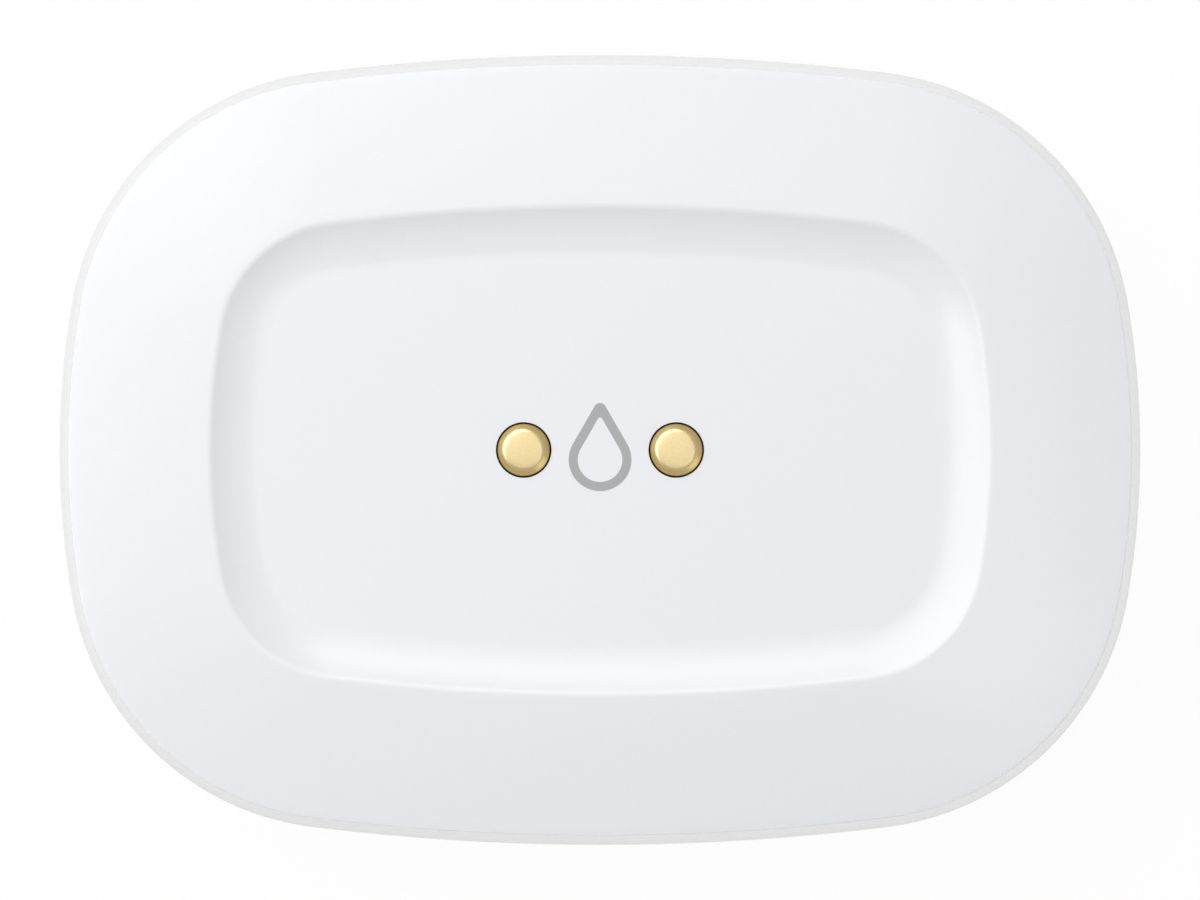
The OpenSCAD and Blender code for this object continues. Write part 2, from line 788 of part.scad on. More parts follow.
module pair_button() {
    face_z = base_z + button_recess;
    color("white")
        translate(button_place)
            rotate_extrude()
                polygon([[0, face_z], [button_d / 2 - button_edge, face_z],
                    [button_d / 2, face_z + button_edge], [button_d / 2, collar_z],
                    [button_d / 2 + collar_reach, collar_z],
                    [button_d / 2 + collar_reach, collar_z + collar_t],
                    [stem_d / 2, collar_z + collar_t], [stem_d / 2, plunger_z - rest_gap],
                    [0, plunger_z - rest_gap]]);
}

module button_seal() {
    color("dimgray")
        translate(button_place)
            difference() {
                disc(button_d + 2 * collar_reach, floor_z, floor_z + washer_t);
                disc(button_bore_d, floor_z - bite, floor_z + washer_t + bite);
            }
}

// Coin cell, its contacts and the bayonet door

can_round = 0.25;

module coin_cell() {
    can_top = cell_top - cap_step;
    color("silver")
        rotate_extrude()
            polygon([[0, cell_z], [cell_d / 2 - can_round, cell_z], [cell_d / 2, cell_z + can_round],
                [cell_d / 2, can_top - can_round], [cell_d / 2 - can_round, can_top],
                [cap_d / 2, can_top], [cap_d / 2 - cap_step / 2, cell_top], [0, cell_top]]);
}

// Bowed leaf that presses on the cap of the cell
leaf_steps = 12;
leaf_sag = spring_room - leaf_t - rest_gap;
leaf_r = (leaf_span^2 / 4 + leaf_sag^2) / (2 * leaf_sag);
leaf_half = asin(leaf_span / 2 / leaf_r);
leaf_z = board_z - leaf_t / 2;
leaf_bow = [for (i = [0 : leaf_steps])
    let (t = leaf_half * (2 * i / leaf_steps - 1))
    [leaf_r * sin(t), leaf_z - leaf_sag + leaf_r * (1 - cos(t))]];
leaf_path = concat([[-leaf_span / 2 - leaf_pad, leaf_z]], leaf_bow, [[leaf_span / 2 + leaf_pad, leaf_z]]);

module battery_negative_spring() {
    color("gold") rotate([0, 0, 90]) bent_strip(leaf_path, leaf_t, leaf_w);
}

// Clip that leans on the side of the can
side_pad = 2.2;
side_touch = cell_d / 2 + 2 * rest_gap + leaf_t / 2;
side_out = well_r + well_t;
side_z = housing_top + loose_gap + leaf_t;
side_path = [[-side_out - side_pad, leaf_z], [-side_out, leaf_z],
    [-side_touch - leaf_t, side_z + leaf_t], [-side_touch, side_z],
    [-side_touch - leaf_t, side_z - leaf_t]];

module battery_positive_clip() {
    color("gold") bent_strip(side_path, leaf_t, side_clip_w);
}

// Door turned on a bayonet, with a slot for a coin
door_groove_r = neck_r + plate_lap / 2;
door_groove_w = door_cord + 2 * rest_gap;
door_groove_d = door_cord + rest_gap;
door_seat = ledge_z - rest_gap;
slot_r = (slot_l^2 / 4 + slot_d^2) / (2 * slot_d);
door_section = [[0, base_z], [plate_r - door_edge, base_z], [plate_r, base_z + door_edge],
    [plate_r, door_seat], [door_groove_r + door_groove_w / 2, door_seat],
    [door_groove_r + door_groove_w / 2, door_seat - door_groove_d],
    [door_groove_r - door_groove_w / 2, door_seat - door_groove_d],
    [door_groove_r - door_groove_w / 2, door_seat], [neck_r, door_seat], [neck_r, neck_top],
    [well_r, neck_top], [well_r, base_z + door_t], [0, base_z + door_t]];

module battery_door() {
    color("white")
        difference() {
            union() {
                rotate_extrude() polygon(door_section);
                for (a = lug_starts)
                    ring_sector(neck_r - bite, lug_r, lug_z, lug_top, a, lug_angle);
            }
            translate([0, 0, base_z + slot_d - slot_r])
                rotate([90, 0, 0]) cylinder(r = slot_r, h = slot_w, center = true, $fn = 256);
        }
}

module door_seal() {
    color("dimgray") ring_cord_at(door_groove_r, door_cord, door_seat - door_groove_d + door_cord / 2);
}

top_cover();
base_shell();
case_seal();
case_screws();
left_contact_pin();
right_contact_pin();
pin_seals();
pin_clips();
pin_fingers();
floor_contacts();
floor_contact_seals();
floor_contact_clips();
floor_contact_springs();
circuit_board();
radio_board();
radio_shield();
chip_antenna();
board_components();
status_lamp();
light_pipe();
pair_switch();
switch_plunger();
pair_button();
button_seal();
coin_cell();
battery_negative_spring();
battery_positive_clip();
battery_door();
door_seal();
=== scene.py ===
"""Looks of a water leak sensor: a white two-part case with gold contacts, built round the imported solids."""

import math

import bmesh
import bpy
from mathutils import Matrix, Vector


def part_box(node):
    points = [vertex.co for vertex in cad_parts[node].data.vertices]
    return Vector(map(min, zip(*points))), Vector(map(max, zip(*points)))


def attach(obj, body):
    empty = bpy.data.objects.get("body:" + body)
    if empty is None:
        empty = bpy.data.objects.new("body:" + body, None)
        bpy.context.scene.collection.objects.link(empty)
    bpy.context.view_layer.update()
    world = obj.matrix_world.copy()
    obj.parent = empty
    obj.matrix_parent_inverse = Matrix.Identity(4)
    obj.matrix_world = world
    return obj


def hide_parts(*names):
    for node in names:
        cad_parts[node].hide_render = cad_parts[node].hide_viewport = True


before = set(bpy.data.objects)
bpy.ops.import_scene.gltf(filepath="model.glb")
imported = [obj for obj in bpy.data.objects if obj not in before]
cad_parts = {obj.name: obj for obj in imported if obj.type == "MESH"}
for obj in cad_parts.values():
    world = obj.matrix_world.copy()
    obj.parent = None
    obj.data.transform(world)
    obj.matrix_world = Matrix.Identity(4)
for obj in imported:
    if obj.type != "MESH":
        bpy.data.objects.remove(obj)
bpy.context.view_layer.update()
bpy.context.scene.view_settings.view_transform = "Standard"


# Base shell: the lower half of the case, one ABS moulding whose underside tucks in to the floor.
# It holds the battery well, the bayonet track and the posts that the case screws run through.
MM = 0.001
OUTLINE_STEPS = 480

case_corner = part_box("top_cover")[1]
half_l, half_w = case_corner.x, case_corner.y
corner_r = 13.4 * MM
side_bow_r = 112 * MM
end_bow_r = 42 * MM
side_c = Vector((0, half_w - side_bow_r))
end_c = Vector((half_l - end_bow_r, 0))

# The corner arc is tangent to both bows, so its centre lies at known reaches from theirs
bow_dir = (end_c - side_c).normalized()
bow_span = (end_c - side_c).length
side_reach, end_reach = side_bow_r - corner_r, end_bow_r - corner_r
bow_along = (bow_span**2 + side_reach**2 - end_reach**2) / (2 * bow_span)
bow_across = math.sqrt(side_reach**2 - bow_along**2)
corner_c = side_c + bow_along * bow_dir + bow_across * Vector((bow_dir.y, -bow_dir.x))
end_heading = math.atan2(corner_c.y, corner_c.x - end_c.x)
side_heading = math.atan2(corner_c.y - side_c.y, corner_c.x)


def outline_point(heading, inset):
    """Point of the case outline whose normal has this heading, moved inward by inset."""
    across, along = math.cos(heading), math.sin(heading)
    folded = math.atan2(abs(along), abs(across))
    centre, r = side_c, side_bow_r
    if folded < end_heading:
        centre, r = end_c, end_bow_r
    elif folded < side_heading:
        centre, r = corner_c, corner_r
    point = centre + (r - inset) * Vector((abs(across), abs(along)))
    return Vector((math.copysign(point.x, across), math.copysign(point.y, along)))


def four_places(heading, inset):
    """The same place in each quarter of the case."""
    turned_headings = (heading, 180 - heading, 180 + heading, -heading)
    return [outline_point(math.radians(h), inset) for h in turned_headings]


def start_face(name, steps, r, z):
    """Adds a filled circle as a new piece and opens it with its face selected."""
    bpy.ops.object.select_all(action="DESELECT")
    bpy.ops.mesh.primitive_circle_add(vertices=steps, radius=r, fill_type="NGON", location=(0, 0, z))
    piece = bpy.context.object
    piece.name = name
    bpy.ops.object.transform_apply(location=True, rotation=False, scale=False)
    bpy.ops.object.mode_set(mode="EDIT")
    bpy.ops.mesh.select_mode(type="FACE")
    return piece


def outline_face(name, inset, z):
    """Filled case outline as a new piece: each point of a circle goes where the outline has its heading."""
    piece = start_face(name, OUTLINE_STEPS, corner_r, z)
    bpy.ops.object.mode_set(mode="OBJECT")
    for vertex in piece.data.vertices:
        vertex.co.xy = outline_point(math.atan2(vertex.co.y, vertex.co.x), inset)
    bpy.ops.object.mode_set(mode="EDIT")
    return piece


def run_section(rows):
    """Takes the selected face along a section of (inset, height) rows, one ring of faces for each row."""
    for (inset, z), (next_inset, next_z) in zip(rows, rows[1:]):
        rise = (0, 0, next_z - z)
        if next_inset > inset:
            bpy.ops.mesh.inset(thickness=next_inset - inset, depth=0, use_even_offset=True)
            bpy.ops.transform.translate(value=rise)
        else:
            bpy.ops.mesh.extrude_region_move(TRANSFORM_OT_translate={"value": rise})


def select_cap(piece, z):
    """Selects the face with the most corners at this height."""
    shape = bmesh.from_edit_mesh(piece.data)
    same_height = 0.001 * MM
    flat = [f for f in shape.faces if abs(f.calc_center_median().z - z) < same_height]
    bpy.ops.mesh.select_all(action="DESELECT")
    max(flat, key=lambda f: len(f.verts)).select_set(True)
    bmesh.update_edit_mesh(piece.data)


def close_piece(piece):
    """Turns all faces outward and leaves edit mode."""
    bpy.ops.mesh.select_all(action="SELECT")
    bpy.ops.mesh.normals_make_consistent(inside=False)
    bpy.ops.object.mode_set(mode="OBJECT")
    return piece


def turned(name, rows, steps=96):
    """Piece of revolution on the upright axis, drawn along rows of (radius, height)."""
    r, z = rows[0]
    piece = start_face(name, steps, r, z)
    for next_r, next_z in rows[1:]:
        bpy.ops.mesh.extrude_region_move(TRANSFORM_OT_translate={"value": (0, 0, next_z - z)})
        bpy.ops.transform.resize(value=(next_r / r, next_r / r, 1), center_override=(0, 0, next_z))
        r, z = next_r, next_z
    return close_piece(piece)


def at_places(piece, places):
    """Sets a piece made on the axis at the first place and joins a copy on for each of the others."""
    copies = []
    for place in places:
        copy = piece.copy()
        copy.data = piece.data.copy()
        copy.data.transform(Matrix.Translation((place.x, place.y, 0)))
        bpy.context.collection.objects.link(copy)
        copies.append(copy)
    name = piece.name
    bpy.data.objects.remove(piece)
    bpy.ops.object.select_all(action="DESELECT")
    for copy in copies:
        copy.select_set(True)
    bpy.context.view_layer.objects.active = copies[0]
    if len(copies) > 1:
        bpy.ops.object.join()
    copies[0].name = name
    return copies[0]


def combine(piece, operation, *tools):
    """Cuts tool pieces out of a piece, or joins them on, and removes the tools."""
    bpy.ops.object.select_all(action="DESELECT")
    bpy.context.view_layer.objects.active = piece
    for tool in tools:
        bpy.ops.object.modifier_add(type="BOOLEAN")
        boolean = piece.modifiers[-1]
        boolean.object = tool
        boolean.operation = operation
        boolean.solver = "MANIFOLD"
        bpy.ops.object.modifier_apply(modifier=boolean.name)
        bpy.data.objects.remove(tool)

    # Cuts leave slivers without area in many-sided faces, so those faces are split and the slivers closed
    sliver_h = 0.0001 * MM
    piece.select_set(True)
    bpy.ops.object.mode_set(mode="EDIT")
    bpy.ops.mesh.select_mode(type="FACE")
    bpy.ops.mesh.select_all(action="DESELECT")
    bpy.ops.mesh.select_face_by_sides(number=4, type="GREATER")
    bpy.ops.mesh.quads_convert_to_tris(quad_method="BEAUTY", ngon_method="BEAUTY")
    bpy.ops.mesh.select_all(action="SELECT")
    bpy.ops.mesh.dissolve_degenerate(threshold=sliver_h)
    bpy.ops.object.mode_set(mode="OBJECT")


def dress(piece, material, body, *nodes, slot=None, crisp_above=30):
    """Gives a finished piece its material, body, solids and finish; edges above an angle in degrees stay crisp."""
    bpy.ops.object.select_all(action="DESELECT")
    piece.select_set(True)
    bpy.context.view_layer.objects.active = piece
    bpy.ops.object.shade_smooth_by_angle(angle=math.radians(crisp_above))
    piece.data.materials.clear()
    piece.data.materials.append(material)
    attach(piece, body)
    if nodes:
        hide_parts(*nodes)


def linear(hex_colour):
    """sRGB hex colour as the linear colour that a shader takes."""
    channels = [int(hex_colour[i : i + 2], 16) / 255 for i in (1, 3, 5)]
    return [c / 12.92 if c <= 0.04045 else ((c + 0.055) / 1.055) ** 2.4 for c in channels] + [1]


def add_node(tree, kind, settings, links=None):
    """Adds a node; settings name its properties or sockets, links give a socket its (node, output)."""
    node = tree.nodes.new(kind)
    for key, value in settings.items():
        if key in node.inputs:
            node.inputs[key].default_value = value
        else:
            setattr(node, key, value)
    for socket, (source, output) in (links or {}).items():
        tree.links.new(source.outputs[output], node.inputs[socket])
    return node


def grained_material(name, pale, dark, grain, roughness, relief, **constants):
    """Material with grains of this size: they run between two colours and two roughnesses and stand in relief."""
    material = bpy.data.materials.new(name)
    material.use_nodes = True
    tree = material.node_tree
    shader = tree.nodes["Principled BSDF"]
    for socket, value in constants.items():
        shader.inputs[socket.replace("_", " ")].default_value = value
    place = add_node(tree, "ShaderNodeTexCoord", {})
    grains = add_node(tree, "ShaderNodeTexNoise", {"Scale": 1 / grain, "Detail": 4}, {"Vector": (place, "Object")})
    tones = add_node(tree, "ShaderNodeValToRGB", {}, {"Fac": (grains, "Fac")})
    tones.color_ramp.elements[0].color = linear(dark)
    tones.color_ramp.elements[1].color = linear(pale)
    gloss = add_node(tree, "ShaderNodeMapRange", {"To Min": roughness[0], "To Max": roughness[1]},
                     {"Value": (grains, "Fac")})
    bump = add_node(tree, "ShaderNodeBump", {"Strength": 1, "Distance": relief}, {"Height": (grains, "Fac")})
    tree.links.new(tones.outputs["Color"], shader.inputs["Base Color"])
    tree.links.new(gloss.outputs["Result"], shader.inputs["Roughness"])
    tree.links.new(bump.outputs["Normal"], shader.inputs["Normal"])
    return material


base_z = 0.6 * MM
floor_z = 2.2 * MM
seam_z = 5.0 * MM
seam_step = 0.15 * MM
tuck = 3 * MM
tuck_steps = 14
groove_inset, groove_end, groove_z = 1.1 * MM, 2.1 * MM, 3.9 * MM
rim_end = 3.0 * MM
floor_round = 1.2 * MM
edge_break = 0.15 * MM

# A narrow ring beside each large flat face keeps it flat in the shading; joined pieces and cutters overlap
hold = 0.3 * MM
overlap = 0.4 * MM

base_outside = []
for i in range(tuck_steps + 1):
    t = math.radians(90) * (1 - i / tuck_steps)
    base_outside.append((seam_step + tuck * (1 - math.sin(t)), base_z + (seam_z - base_z) * (1 - math.cos(t))))
base_outside.append((base_outside[-1][0] + hold, base_z))
base_inside = [(seam_step, seam_z), (groove_inset, seam_z), (groove_inset, groove_z), (groove_end, groove_z),
               (groove_end, seam_z), (rim_end, seam_z), (rim_end, floor_z + floor_round),
               (rim_end + floor_round, floor_z), (rim_end + floor_round + hold, floor_z)]

base_moulding = outline_face("base_moulding", seam_step, seam_z)
bpy.ops.mesh.extrude_region_move(TRANSFORM_OT_translate={"value": (0, 0, base_outside[1][1] - seam_z)})
run_section([(base_outside[0][0], base_outside[1][1]), *base_outside[1:]])
select_cap(base_moulding, seam_z)
run_section(base_inside)
close_piece(base_moulding)

# What stands on the floor inside: the battery well on its bayonet housing, screw posts and foot bosses
screw_places = four_places(15, 5.1 * MM)
foot_places = four_places(66, 5.4 * MM)
button_place = outline_point(0, 7.8 * MM)
board_z = 7.42 * MM
well_r, well_wall, well_top = 10.3 * MM, 1.1 * MM, 7.12 * MM
housing_r, housing_top = 13.55 * MM, 4.9 * MM
post_r, post_bore_r = 2.8 * MM, 1.1 * MM
boss_r, boss_h = 2.15 * MM, 1.4 * MM
boss_steps = 48
sunk_z = floor_z - overlap
combine(
    base_moulding, "UNION",
    turned("well", [(housing_r, sunk_z), (housing_r, housing_top), (well_r + well_wall, housing_top),
                    (well_r + well_wall, well_top)]),
    at_places(turned("posts", [(post_r, sunk_z), (post_r, board_z)], boss_steps), screw_places),
    at_places(turned("bosses", [(boss_r, sunk_z), (boss_r, floor_z + boss_h)], boss_steps), foot_places),
)

# Openings of the underside, each with a broken edge: door well, screw recesses, contact bores, button bore
below_z = base_z - edge_break
recess_r, ledge_z = 12.95 * MM, 1.6 * MM
mouth_r, mouth_top = 11.45 * MM, 4.3 * MM
screw_recess_r, screw_seat_z = 1.95 * MM, 2.4 * MM
head_bore_r, head_bore_z = 1.33 * MM, 1.6 * MM
shank_bore_r = 0.82 * MM
button_bore_r = 2.15 * MM
door_steps, sector_steps = 192, 24


def opening(name, r, depth_rows, steps=64):
    """Cutter for a bore in the underside whose mouth has a broken edge."""
    return turned(name, [(r + 2 * edge_break, below_z), (r, base_z + edge_break), *depth_rows], steps)


def ring_sector(name, radii, heights, start, angle):
    """Part of a ring, made by spinning a small upright face round the axis; start and angle are in degrees."""
    heading = math.radians(start)
    middle = sum(radii) / 2
    bpy.ops.object.select_all(action="DESELECT")
    bpy.ops.mesh.primitive_plane_add(
        size=1, rotation=(math.radians(90), 0, heading),
        location=(middle * math.cos(heading), middle * math.sin(heading), sum(heights) / 2),
    )
    sector = bpy.context.object
    sector.name = name
    sector.scale = (radii[1] - radii[0], heights[1] - heights[0], 1)
    bpy.ops.object.transform_apply(location=True, rotation=True, scale=True)
    bpy.ops.object.mode_set(mode="EDIT")
    bpy.ops.mesh.select_all(action="SELECT")
    bpy.ops.mesh.spin(steps=sector_steps, angle=math.radians(angle), center=(0, 0, 0), axis=(0, 0, 1))
    return close_piece(sector)


combine(
    base_moulding, "DIFFERENCE",
    opening("door_well", recess_r, [(recess_r, ledge_z), (mouth_r, ledge_z), (mouth_r, mouth_top),
                                    (well_r, mouth_top), (well_r, well_top + MM)], door_steps),
    at_places(opening("screw_bores", screw_recess_r, [(screw_recess_r, screw_seat_z), (post_bore_r, screw_seat_z),
                                                      (post_bore_r, board_z + MM)]), screw_places),
    at_places(opening("foot_bores", head_bore_r, [(head_bore_r, head_bore_z), (shank_bore_r, head_bore_z),
                                                  (shank_bore_r, floor_z + boss_h + MM)]), foot_places),
    at_places(opening("button_bore", button_bore_r, [(button_bore_r, floor_z + MM)]), [button_place]),
)

# The door's lugs drop in through three notches of the ledge and turn above it, each in its own track
lug_starts, lug_angle, door_twist = (30, 150, 270), 28, 45
track_play, notch_play = 1.5, 1
track_reach, notch_reach = (mouth_r - overlap, 12.45 * MM), (mouth_r - overlap, 12.6 * MM)
track_z, track_top = 2.8 * MM, 4.1 * MM
for start in lug_starts:
    combine(
        base_moulding, "DIFFERENCE",
        ring_sector("lug_track", track_reach, (track_z, track_top), start - door_twist - track_play,
                    lug_angle + door_twist + 2 * track_play),
        ring_sector("lug_notch", notch_reach, (ledge_z - overlap, track_z + overlap),
                    start - door_twist - notch_play, lug_angle + 2 * notch_play),
    )

# Moulded ABS: satin white with a faint orange peel, drawn coarser than the 0.05 mm grain of its tool; on the cover's
# side wall its greyer tone is painted shade
base_abs = grained_material("satin_white_abs_base", "#DFDFDF", "#DADADA", 0.25 * MM, (0.17, 0.23), 0.0006 * MM,
                            IOR=1.54)
dress(base_moulding, base_abs, "case", "base_shell", slot="base_white")


# Seals: the moulded ring in the groove of the case, rings under the contact heads, the button's washer
# and the door's ring. All are dark silicone rubber, pressed between the hard parts when they close.
def finish_node(material, *nodes):
    """Gives solids that keep their own shape a material."""
    for node in nodes:
        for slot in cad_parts[node].material_slots:
            slot.material = material


# Moulded silicone: dull dark grey with a dusty bloom
silicone = grained_material("grey_silicone_rubber", "#4A4B4D", "#3A3B3D", 0.4 * MM, (0.6, 0.75), 0.004 * MM, IOR=1.43)
finish_node(silicone, "case_seal", "pin_seals", "floor_contact_seals", "button_seal", "door_seal")


# Floor contacts: four turned brass feet under gold plate that feel water on the floor and carry the case.
# Each sits on its ring in a counterbore, held by a push-on clip, and a coil spring joins it to the board.
head_r, shank_r = 1.25 * MM, 0.8 * MM
head_start_r = 0.05 * head_r
head_turns = ((0.5 * head_r, 1.5, 3), (0.68 * head_r, 4, 3), (0.84 * head_r, 39, 12), (head_r, 43, 4))
foot_head_z = 1.1 * MM
foot_tail_z = floor_z + boss_h + 0.85 * MM


def sine(degrees):
    """Sine of an angle in degrees."""
    return math.sin(math.radians(degrees))


def cosine(degrees):
    """Cosine of an angle in degrees."""
    return math.cos(math.radians(degrees))


def contact_rows(face_z, neck_z, tail_z):
    """Section of a turned contact from face to tail; a turn of its head gives end radius, end slope and steps."""
    into = math.copysign(1, tail_z - face_z)
    rows = [(head_start_r, face_z)]
    start = 0
    for end_r, end, steps in head_turns:
        r, z = rows[-1]
        arc_r = (end_r - r) / (sine(end) - sine(start))
        for i in range(1, steps + 1):
            s = start + (end - start) * i / steps
            rows.append((r + arc_r * (sine(s) - sine(start)), z + into * arc_r * (cosine(start) - cosine(s))))
        start = end
    return rows + [(head_r, neck_z), (shank_r, neck_z), (shank_r, tail_z)]


pin_face_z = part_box("left_contact_pin")[1].z
contact_feet = at_places(turned("contact_feet", contact_rows(0, foot_head_z, foot_tail_z)), foot_places)

# Gold plate over nickel: warm and bright on the turned faces, above and below, with a fine grain;
# the sloped rims are darkened by their depth below the face as painted shade, darkest at the outer edge as painted
# shade of the gap beside it, partly tarnish
gold_plate = grained_material("gold_plated_brass", "#FFF0C2", "#F4D593", 0.1 * MM, (0.3, 0.38), 0.0006 * MM,
                              Metallic=1)
plate = gold_plate.node_tree
place = add_node(plate, "ShaderNodeTexCoord", {})
height = add_node(plate, "ShaderNodeSeparateXYZ", {}, {"Vector": (place, "Object")})
level = add_node(plate, "ShaderNodeMapRange", {"From Max": pin_face_z}, {"Value": (height, "Z")})
rim_shade = add_node(plate, "ShaderNodeValToRGB", {}, {"Fac": (level, "Result")})
# Painted shade: depths below the face and the colour that darkens the gold there
rim_shade_steps = ((0.04 * MM, "#FFFFFF"), (0.1 * MM, "#EFE7CB"), (0.24 * MM, "#E9DFC4"), (0.28 * MM, "#8A7A5C"))
rim_shade.color_ramp.elements.remove(rim_shade.color_ramp.elements[1])
for depth, colour in rim_shade_steps:
    for z in (depth, pin_face_z - depth):
        rim_shade.color_ramp.elements.new(z / pin_face_z).color = linear(colour)
rim_shade.color_ramp.elements.remove(rim_shade.color_ramp.elements[0])
shader = plate.nodes["Principled BSDF"]
grain_tone = shader.inputs["Base Color"].links[0].from_node
# The grain's colour times the painted shade of the rims
shaded_gold = add_node(plate, "ShaderNodeVectorMath", {"operation": "MULTIPLY"},
                    {0: (grain_tone, "Color"), 1: (rim_shade, "Color")})
plate.links.new(shaded_gold.outputs["Vector"], shader.inputs["Base Color"])
dress(contact_feet, gold_plate, "case", "floor_contacts", slot="contact_gold")

# Stamped stainless clips and gold-flashed spring wire: fine rolling marks under a bright skin
clip_steel = grained_material("stamped_stainless_steel", "#C9CBCC", "#B4B6B8", 0.1 * MM, (0.25, 0.4), 0.001 * MM,
                              Metallic=1)
spring_gold = grained_material("gold_flashed_spring_bronze", "#F2CF84", "#DDB366", 0.1 * MM, (0.2, 0.35), 0.001 * MM,
                               Metallic=1)
finish_node(clip_steel, "pin_clips", "floor_contact_clips")
finish_node(spring_gold, "floor_contact_springs", "pin_fingers", "battery_negative_spring", "battery_positive_clip")


# Coin cell: a pressed nickel-plated can with its cap, lying in the well between its two spring contacts.
# Nickel-plated steel: pale bright metal with fine drawing marks
cell_nickel = grained_material("nickel_plated_steel_can", "#D6D5D0", "#C2C1BC", 0.3 * MM, (0.18, 0.3), 0.001 * MM,
                               Metallic=1)
finish_node(cell_nickel, "coin_cell")


# Boards: the main board on the posts and the radio board on it, with the shield can, the chip antenna,
# small parts, the status lamp, its light pipe and the pair switch soldered or pressed in place.
# Solder mask over glass weave: deep green, glossy, the weave just showing
mask_green = grained_material("solder_mask_green", "#1E6B3C", "#17572F", 0.6 * MM, (0.25, 0.4), 0.004 * MM, IOR=1.52)
radio_green = grained_material("solder_mask_radio", "#155A48", "#0F4637", 0.5 * MM, (0.25, 0.4), 0.004 * MM, IOR=1.52)
finish_node(mask_green, "circuit_board")
finish_node(radio_green, "radio_board")

# Bright tin on pressed sheet, dull grey ceramic, black epoxy and the milky lens of a lamp
tin = grained_material("bright_tin_sheet", "#CDCECB", "#B9BAB7", 0.3 * MM, (0.3, 0.45), 0.002 * MM, Metallic=1)
ceramic = grained_material("fired_ceramic_antenna", "#C7CBD2", "#AEB4BD", 0.15 * MM, (0.5, 0.65), 0.003 * MM, IOR=1.7)
epoxy = grained_material("moulded_black_epoxy", "#2B2B2D", "#1F1F21", 0.1 * MM, (0.5, 0.7), 0.003 * MM, IOR=1.55)
lens = grained_material("milky_lamp_resin", "#F4F0DC", "#E9E4CC", 0.2 * MM, (0.3, 0.45), 0.001 * MM, IOR=1.5)
acetal = grained_material("grey_acetal_plunger", "#8C8E91", "#7C7E81", 0.2 * MM, (0.4, 0.55), 0.002 * MM, IOR=1.48)
finish_node(tin, "radio_shield")
finish_node(ceramic, "chip_antenna")
finish_node(epoxy, "board_components", "pair_switch")
finish_node(lens, "status_lamp")
finish_node(acetal, "switch_plunger")

# Clear moulded acrylic: glass-like, with faint flow lines that roughen it
acrylic = grained_material("clear_acrylic_pipe", "#F6FAFB", "#EEF4F6", 0.5 * MM, (0.04, 0.1), 0.001 * MM,
                           IOR=1.49, Transmission_Weight=1)
finish_node(acrylic, "light_pipe")


# Top cover: the upper half of the case, one ABS moulding with a crowned rim round a shallow drip dish.
# A tongue under its wall presses the seal, and its posts take the screws that come up from the base.
lip_inset, lip_r, lip_slope = 7.2 * MM, 0.6 * MM, 5
dish_depth = 0.75 * MM
dish_slope, dish_toe = 30, 6
rim_slope, rim_inset = 8, 0.6 * MM
edge_r = 0.04 * MM
seam_gap, run_gap = 0.2 * MM, 0.15 * MM
cover_z = seam_z + seam_gap
dish_t, roof_t, wall_t = 1.5 * MM, 1.6 * MM, 2 * MM
dish_z = 13.92 * MM
rim_z = dish_z + dish_depth


def add_arc(rows, r, slope, end_slope, steps):
    """Adds an arc to a section: it climbs at one slope where it starts and at another where it ends, in degrees."""
    inset, z = rows[-1]
    turn = math.copysign(r, end_slope - slope)
    for i in range(1, steps + 1):
        s = slope + (end_slope - slope) * i / steps
        rows.append((inset + turn * (sine(s) - sine(slope)), z + turn * (cosine(slope) - cosine(s))))


lip_start = lip_inset - lip_r * sine(lip_slope)
rim_r = (lip_start - rim_inset) / (sine(rim_slope) - sine(lip_slope))
rim_drop = rim_r * (cosine(lip_slope) - cosine(rim_slope)) + lip_r * (1 - cosine(lip_slope))
roof_z, crest_roof_z = rim_z - rim_drop - roof_t, rim_z - roof_t
dish_wall_r = (dish_depth - lip_r * (1 - cosine(dish_slope))) / (cosine(dish_toe) - cosine(dish_slope))
wall_top = (rim_inset - edge_r * (1 - sine(rim_slope)), rim_z - rim_drop - edge_r * cosine(rim_slope))

cover_outside = [(0, cover_z), wall_top]
add_arc(cover_outside, edge_r, 90, rim_slope, steps=8)
add_arc(cover_outside, rim_r, rim_slope, lip_slope, steps=14)
add_arc(cover_outside, lip_r, lip_slope, -dish_slope, steps=8)
add_arc(cover_outside, dish_wall_r, -dish_slope, -dish_toe, steps=14)
dish_inset = cover_outside[-1][0]
cover_outside.append((dish_inset + hold, dish_z))

tongue_z = groove_z + 0.85 * MM
dish_under = dish_z - dish_t
under_step = 0.4 * MM
roof_inset = wall_t + rim_inset / 2
cover_inside = [(0, cover_z), (groove_inset + run_gap, cover_z), (groove_inset + run_gap, tongue_z),
                (groove_end - run_gap, tongue_z), (wall_t, cover_z), (roof_inset, roof_z - MM),
                (roof_inset + MM, roof_z), (lip_inset - under_step, crest_roof_z),
                (dish_inset - under_step, dish_under), (dish_inset - under_step + hold, dish_under)]

cover_moulding = outline_face("cover_moulding", 0, cover_z)
bpy.ops.mesh.extrude_region_move(TRANSFORM_OT_translate={"value": (0, 0, hold)})
run_section([(0, cover_z + hold), *cover_outside[1:]])
select_cap(cover_moulding, cover_z)
run_section(cover_inside)
close_piece(cover_moulding)

